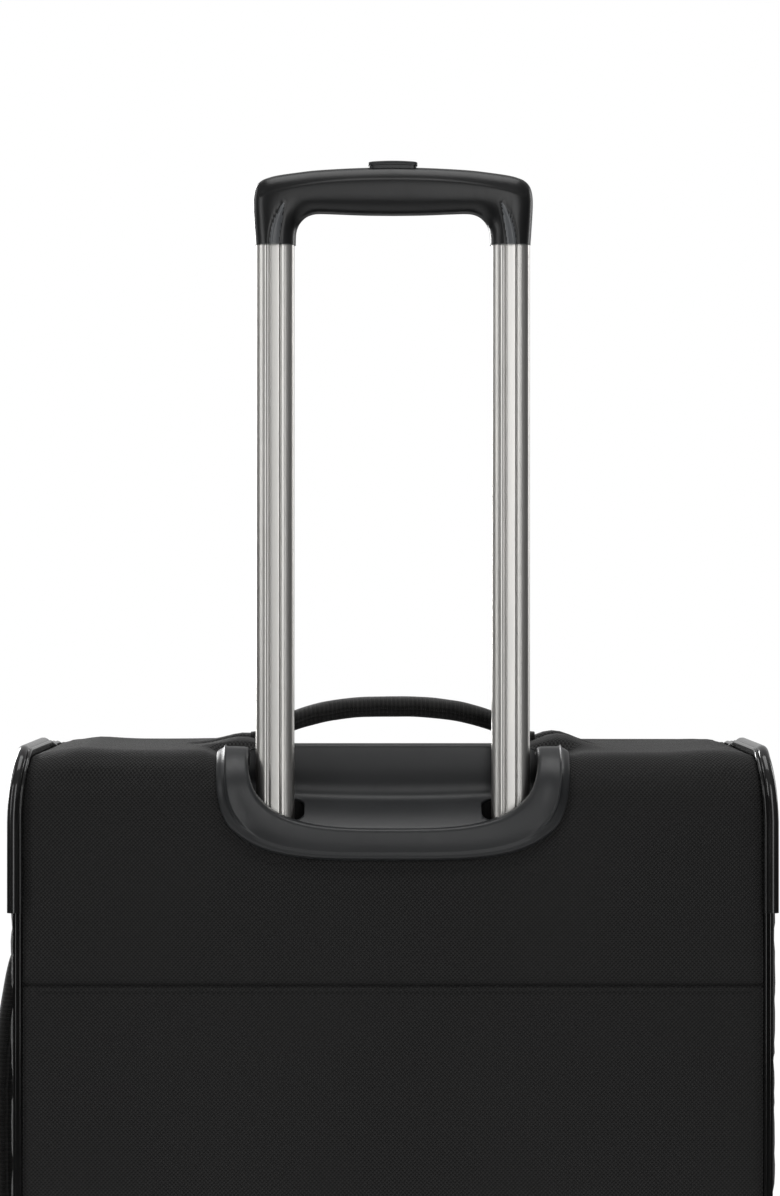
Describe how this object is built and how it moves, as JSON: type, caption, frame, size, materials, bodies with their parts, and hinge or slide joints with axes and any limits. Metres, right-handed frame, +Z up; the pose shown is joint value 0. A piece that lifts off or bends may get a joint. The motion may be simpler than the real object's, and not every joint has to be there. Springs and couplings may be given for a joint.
{
  "type": "softside upright suitcase",
  "caption": "Soft-sided upright suitcase with a telescopic pull handle, carry handles, recessed rear wheels and a zipped front lid with pockets.",
  "frame": {"origin": "on the floor under the middle of the case, at the bottom centre of its bounding box", "axes": "+Z up along the pull handle; front with the lid faces -Y; back panel with handle recess and wheels faces +Y"},
  "size_m": [0.497, 0.308, 1.0188],
  "materials": {
    "fabric": "black ribbed polyester weave, matt",
    "lining": "thin woven lining, slight sheen",
    "webbing": "padded black fabric and webbing",
    "mesh": "open net fabric",
    "zip": "black zip tape",
    "gloss": "glossy black moulded plastic",
    "plastic": "satin charcoal moulded plastic",
    "grip": "satin black moulded plastic",
    "board": "black extruded board",
    "hub": "satin dark plastic",
    "rubber": "matt black polyurethane",
    "aluminium": "satin brushed, clear anodised",
    "steel": "dark nickel"
  },
  "bodies": {
    "case": {"wrap_panel": "fabric", "side_panel_left": "fabric", "side_panel_right": "fabric", "lining_tub": "lining", "tie_strap_left": "webbing", "tie_strap_right": "webbing", "case_zip_tape": "zip", "piping_left": "gloss", "piping_right": "gloss", "corner_guard_left": "gloss", "corner_guard_right": "gloss", "handle_rim": "plastic", "handle_tray": "plastic", "tube_bracket": "plastic", "strap_buckle": "plastic", "wheel_housing_left": "plastic", "wheel_housing_right": "plastic", "front_foot_left": "plastic", "front_foot_right": "plastic", "side_foot_lower": "plastic", "side_foot_upper": "plastic", "rear_bumper": "plastic", "top_handle_anchor_a": "plastic", "top_handle_anchor_b": "plastic", "side_handle_anchor_a": "plastic", "side_handle_anchor_b": "plastic", "back_board": "board", "fixed_tube_left": "aluminium", "fixed_tube_right": "aluminium", "opening_wire": "steel", "axle_left": "steel", "axle_right": "steel"},
    "trolley": {"sliding_tube_left": "aluminium", "sliding_tube_right": "aluminium", "grip": "grip"},
    "release": {"release_button": "grip", "release_rod_left": "steel", "release_rod_right": "steel"},
    "lock_pin_left": {"lock_pin_left": "steel"},
    "lock_pin_right": {"lock_pin_right": "steel"},
    "top_handle": {"top_handle": "webbing"},
    "side_handle": {"side_handle": "webbing"},
    "wheel_left": {"wheel_hub_left": "hub", "tyre_left": "rubber"},
    "wheel_right": {"wheel_hub_right": "hub", "tyre_right": "rubber"},
    "lid": {"lid_shell": "fabric", "lid_zip_tape": "zip", "lid_piping": "gloss", "mesh_panel": "mesh", "front_pocket": "fabric", "upper_pocket": "fabric"},
    "main_slider_upper": {"main_slider_upper": "steel"},
    "main_slider_lower": {"main_slider_lower": "steel"},
    "main_pull_upper": {"main_pull_upper": "steel"},
    "main_pull_lower": {"main_pull_lower": "steel"},
    "front_slider": {"front_slider": "steel"},
    "front_pull": {"front_pull": "steel"},
    "top_slider": {"top_slider": "steel"},
    "top_pull": {"top_pull": "steel"}
  },
  "joints": [
    {"name": "pull_handle_slide", "type": "slide", "parent": "case", "child": "trolley", "axis": [0, 0, 1], "range_m": [-0.332, 0]},
    {"name": "button_press", "type": "slide", "parent": "trolley", "child": "release", "axis": [0, 0, 1], "range_m": [-0.003, 0], "stiffness_N_per_m": 400},
    {"name": "lock_pin_left_slide", "type": "slide", "parent": "trolley", "child": "lock_pin_left", "axis": [-1, 0, 0], "range_m": [0, 0.002]},
    {"name": "lock_pin_right_slide", "type": "slide", "parent": "trolley", "child": "lock_pin_right", "axis": [1, 0, 0], "range_m": [0, 0.002]},
    {"name": "top_handle_tilt", "type": "hinge", "parent": "case", "child": "top_handle", "pos_m": [0, 0.02, 0.6755], "axis": [1, 0, 0], "range_deg": [-45, 45]},
    {"name": "side_handle_tilt", "type": "hinge", "parent": "case", "child": "side_handle", "pos_m": [0.23, 0, 0.43], "axis": [0, 0, 1], "range_deg": [-30, 30]},
    {"name": "lid_open", "type": "hinge", "parent": "case", "child": "lid", "pos_m": [-0.2235, -0.079, 0.348], "axis": [0, 0, -1], "range_deg": [0, 165]},
    {"name": "wheel_left_spin", "type": "hinge", "parent": "case", "child": "wheel_left", "pos_m": [-0.178, 0.1215, 0.0325], "axis": [1, 0, 0], "continuous": true},
    {"name": "wheel_right_spin", "type": "hinge", "parent": "case", "child": "wheel_right", "pos_m": [0.178, 0.1215, 0.0325], "axis": [1, 0, 0], "continuous": true},
    {"name": "main_zip_upper", "type": "slide", "parent": "case", "child": "main_slider_upper", "axis": [0, 0, 1], "range_m": [0, 0.1]},
    {"name": "main_zip_lower", "type": "slide", "parent": "case", "child": "main_slider_lower", "axis": [0, 0, 1], "range_m": [-0.43, 0]},
    {"name": "main_pull_upper_flip", "type": "hinge", "parent": "main_slider_upper", "child": "main_pull_upper", "pos_m": [0.2265, -0.079, 0.54], "axis": [0, -1, 0], "range_deg": [0, 150]},
    {"name": "main_pull_lower_flip", "type": "hinge", "parent": "main_slider_lower", "child": "main_pull_lower", "pos_m": [0.2265, -0.079, 0.5], "axis": [0, -1, 0], "range_deg": [0, 150]},
    {"name": "front_zip", "type": "slide", "parent": "lid", "child": "front_slider", "axis": [1, 0, 0], "range_m": [0, 0.3]},
    {"name": "front_pull_flip", "type": "hinge", "parent": "front_slider", "child": "front_pull", "pos_m": [-0.15, -0.15345, 0.372], "axis": [-1, 0, 0], "range_deg": [0, 150]},
    {"name": "top_zip", "type": "slide", "parent": "lid", "child": "top_slider", "axis": [1, 0, 0], "range_m": [0, 0.3]},
    {"name": "top_pull_flip", "type": "hinge", "parent": "top_slider", "child": "top_pull", "pos_m": [-0.15, -0.15145, 0.582], "axis": [-1, 0, 0], "range_deg": [0, 150]}
  ],
  "couplings": [
    {"joint": "lock_pin_left_slide", "follows": "button_press", "ratio": -0.66},
    {"joint": "lock_pin_right_slide", "follows": "button_press", "ratio": -0.66}
  ]
}
